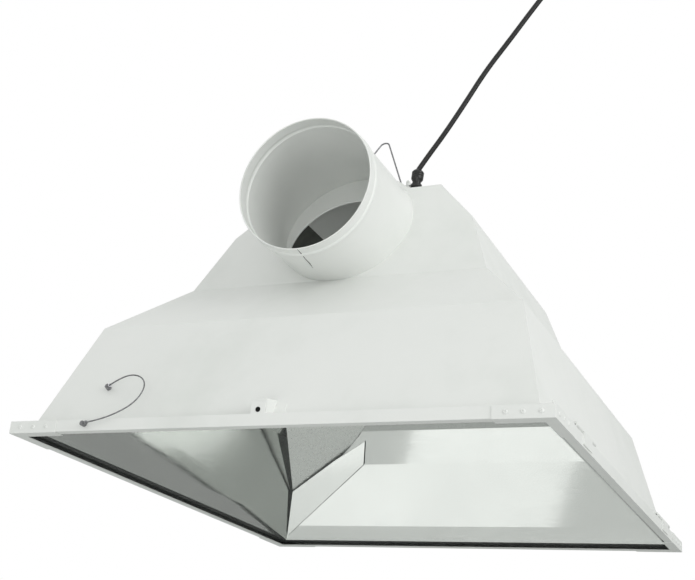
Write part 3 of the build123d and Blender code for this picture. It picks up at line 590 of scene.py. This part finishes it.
def collar_details(side, sign):
    """The rolled lip at the mouth, the rolled hem round the wall's hole, and the collar's lap seam, drawn as
    a thin black line that is painted shade in the seam's step.
    """
    mouth = abs(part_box(f"{side}_collar")[0 if sign < 0 else 1][1])
    lip = bmesh.new()
    middle = (DUCT_RADIUS + COLLAR_INNER) / 2
    closed_tube(lip, [Vector((middle * math.cos(a), sign * (mouth - 0.0008), DUCT_Z + middle * math.sin(a)))
                      for a in (2 * math.pi * k / LIP_POINTS for k in range(LIP_POINTS))], LIP_RADIUS)
    finished(lip, f"{side}_collar_lip", "hood", "white_paint")
    hem = bmesh.new()
    _, roof_y, roof_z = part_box("roof_panel")[0]
    top_y = abs(roof_y) + WALL_STANDOFF
    ring = [Vector((x, sign * (top_y + WALL_SLOPE * (roof_z - z) + 0.0002), z)) for x, z in hole_outline()]
    closed_tube(hem, ring, HEM_RADIUS)
    finished(hem, f"{side}_hole_hem", "hood", "white_paint")
    # painted shade: a thin black tube along the collar's underside, where the lap seam's step lies in shadow
    seam_shadow_line = bmesh.new()
    reach = [(0.0005, mouth - 0.0015), (-0.0005, mouth - 0.016), (-0.0030, mouth - 0.034),
             (-0.0042, mouth - 0.052), (-0.0070, mouth - 0.069)]
    line = [Vector((x, sign * y, DUCT_Z - math.sqrt(DUCT_RADIUS ** 2 - x * x) - bead_rise(mouth - y)))
            for x, y in reach]
    tube(seam_shadow_line, line, [0.0002, 0.0007, 0.0005, 0.0007, 0.0002], sides=8)
    finished(seam_shadow_line, f"{side}_collar_seam_shadow", "hood", "black_rubber")


def bead_rise(from_mouth):
    """How far the collar's bead stands out at a distance from the mouth."""
    share = abs(from_mouth - BEAD_FROM_MOUTH) / BEAD_HALF_WIDTH
    return BEAD_HEIGHT * (1 - share * share) if share < 1 else 0.0


rivets()
for side, sign in (("front", -1), ("rear", 1)):
    collar_details(side, sign)


# ---- hammered gussets --------------------------------------------------------------------------
GRID = 0.0014
PEBBLE = 0.0044
DIMPLE_DEPTH = 0.0005
GUSSET_SHEET = 0.0008


def spread_along(outline, step):
    """The outline with points added so that no run is longer than step."""
    dense = []
    for here, after in zip(outline, outline[1:] + outline[:1]):
        runs = max(1, math.ceil((after - here).length / step))
        dense += [here.lerp(after, k / runs) for k in range(runs)]
    return dense


def inside(point, outline):
    """Whether a 2-D point lies inside a closed outline."""
    within = False
    for a, b in zip(outline, outline[1:] + outline[:1]):
        if (a.y > point.y) != (b.y > point.y):
            if point.x < a.x + (point.y - a.y) / (b.y - a.y) * (b.x - a.x):
                within = not within
    return within


def hammered_gussets():
    """Replaces the flat gussets by sheets whose lit face is pressed into pebbles."""
    flat = bmesh.new()
    flat.from_mesh(frame["nodes"]["corner_gussets"].data)
    bmesh.ops.remove_doubles(flat, verts=flat.verts, dist=SAME_PLACE)
    bmesh.ops.dissolve_limit(flat, angle_limit=FLAT_ANGLE, verts=flat.verts, edges=flat.edges)
    lit = [face for face in flat.faces if face.normal.z < -0.3 and face.calc_area() > 0.002]
    solid = bmesh.new()
    for face in lit:
        origin, normal = face.verts[0].co.copy(), face.normal.copy()
        across = normal.orthogonal().normalized()
        along = normal.cross(across)
        corners = [Vector(((v.co - origin).dot(across), (v.co - origin).dot(along))) for v in face.verts]
        edge = spread_along(corners, GRID)
        low = Vector((min(p.x for p in edge), min(p.y for p in edge)))
        high = Vector((max(p.x for p in edge), max(p.y for p in edge)))
        grid = []
        for row in range(int((high.y - low.y) / GRID)):
            for column in range(int((high.x - low.x) / GRID)):
                point = low + GRID * Vector((column + 0.5 * (row % 2), row + 0.5))
                clear = min((point - p).length_squared for p in edge) > (0.6 * GRID) ** 2
                if clear and inside(point, corners):
                    grid.append(point)
        points = edge + grid
        rim = [(k, (k + 1) % len(edge)) for k in range(len(edge))]
        plan, _, faces, *_ = mathutils.geometry.delaunay_2d_cdt(points, rim, [], 1, 1e-7)
        front, back = [], []
        for point in plan:
            place = origin + point.x * across + point.y * along
            distances, _ = mathutils.noise.voronoi(place / PEBBLE)
            press = DIMPLE_DEPTH * min(1.0, 1.3 * (distances[1] - distances[0]))
            front.append(solid.verts.new(place + normal * (press - DIMPLE_DEPTH)))
            back.append(solid.verts.new(place - normal * GUSSET_SHEET))
        for triangle in faces:
            solid.faces.new([front[k] for k in triangle])
            solid.faces.new([back[k] for k in reversed(triangle)])
        for a, b in rim:
            solid.faces.new((front[a], back[a], back[b], front[b]))
    flat.free()
    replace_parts(finished(solid, "hammered_gussets", "hood", "hammertone_aluminium", 75.0), "corner_gussets")


hammered_gussets()

# ---- sheet metal with real folds and edges ---------------------------------------------------
SHEET_EDGE = 0.0004
PANEL_FOLD = 0.0025

shell = [soften(f"{side}_panel", fold=PANEL_FOLD, edge=SHEET_EDGE)
         for side in ("front", "rear", "left", "right")]
for panel in (*shell, soften("roof_panel", edge=SHEET_EDGE)):
    panel.data.materials[0] = shell_paint_inner_shade.material
for node in ("front_rail", "rear_rail", "left_rail", "right_rail"):
    soften(node, edge=SHEET_EDGE)
for corner in ("front_right", "front_left", "rear_right", "rear_left"):
    soften(f"{corner}_corner_bracket", edge=SHEET_EDGE)
for side in ("front", "rear"):
    for piece in ("hanger_bracket", "hinge_upper_leaf", "hinge_lower_leaf", "keeper", "socket", "socket_bar"):
        soften(f"{side}_{piece}", edge=SHEET_EDGE)
soften("left_keeper", edge=SHEET_EDGE)
for side in ("front", "rear", "left"):
    soften(f"{side}_latch_screw", edge=0.0003)
for node in ("corner_strips", "lamp_crown"):
    soften(node, edge=0.0002)
soften("ceiling_fitting", edge=0.0015)


# ---- floor and light -------------------------------------------------------------------------
def make_floor(height):
    """A pale matt floor."""
    bpy.ops.mesh.primitive_plane_add(size=14.0, location=(0, 0, height))
    floor = bpy.context.object
    floor.name = "floor"
    pale = Shader("floor", Roughness=0.8)
    pale.colour(pale.ramp(pale.noise(1.5, detail=4.0),
                          [(0.3, (0.52, 0.53, 0.52)), (0.7, (0.57, 0.58, 0.57))]))
    floor.data.materials.append(pale.material)


def area_light(name, location, target, size, power, spread=180.0):
    """A square softbox that faces its target; spread, in degrees, narrows its beam."""
    lamp = bpy.data.lights.new(name, "AREA")
    lamp.size = size
    lamp.energy = power
    lamp.spread = math.radians(spread)
    light = bpy.data.objects.new(name, lamp)
    light.location = location
    light.rotation_euler = (Vector(target) - Vector(location)).to_track_quat("-Z", "Y").to_euler()
    scene.collection.objects.link(light)


def tinted(grey):
    """A grey of the dome, a little towards green, as an opaque colour."""
    return (0.985 * grey, grey, 0.985 * grey, 1.0)


def make_world(seen, dome):
    """A plain white backdrop for the camera, and a grey dome, brighter overhead, that lights the object."""
    world = bpy.data.worlds.new("studio")
    scene.world = world
    world.use_nodes = True
    nodes, links = world.node_tree.nodes, world.node_tree.links
    nodes.clear()
    output = nodes.new("ShaderNodeOutputWorld")
    mix = nodes.new("ShaderNodeMixShader")
    rays = nodes.new("ShaderNodeLightPath")
    links.new(rays.outputs["Is Camera Ray"], mix.inputs[0])
    height = nodes.new("ShaderNodeSeparateXYZ")
    links.new(nodes.new("ShaderNodeTexCoord").outputs["Generated"], height.inputs[0])
    shades = nodes.new("ShaderNodeValToRGB")
    elements = shades.color_ramp.elements
    for element, (position, grey) in zip(elements, (dome[0], dome[-1])):
        element.position = position
        element.color = tinted(grey)
    for position, grey in dome[1:-1]:
        elements.new(position).color = tinted(grey)
    links.new(height.outputs["Z"], shades.inputs["Fac"])
    for index in (0, 1):
        background = nodes.new("ShaderNodeBackground")
        background.inputs["Color"].default_value = (seen, seen, seen, 1.0)
        links.new(background.outputs[0], mix.inputs[index + 1])
        if index == 0:
            links.new(shades.outputs["Color"], background.inputs["Color"])
    links.new(mix.outputs[0], output.inputs[0])


def floor_card(name, x, y, height, size, power):
    """A pale glowing card that lies just over the floor and faces up, for the mirror walls to show."""
    area_light(name, (x, y, height), (x, y, 0.0), size, power)


FLOOR_Z = -1.45
make_floor(FLOOR_Z)
make_world(seen=1.0, dome=[(0.02, 0.30), (0.18, 0.58), (0.60, 0.82)])
area_light("key", (3.2, -1.2, 0.9), (0.1, 0.0, 0.2), 2.2, 12.0, spread=80.0)
area_light("front_fill", (-1.2, -3.4, 0.6), (0.0, 0.0, 0.2), 2.4, 1.3, spread=90.0)
area_light("camera_fill", (1.0, -3.2, -0.6), (0.0, 0.0, 0.3), 1.6, 6.0, spread=100.0)
floor_card("floor_card", -0.9, -2.6, -1.44, 3.2, 10.0)
floor_card("low_card", -1.36, -2.75, -1.43, 1.55, 4.3)
floor_card("near_card", -0.47, -1.15, -1.43, 0.95, 1.7)
floor_card("side_card", 1.65, -1.0, -1.43, 0.7, 1.6)
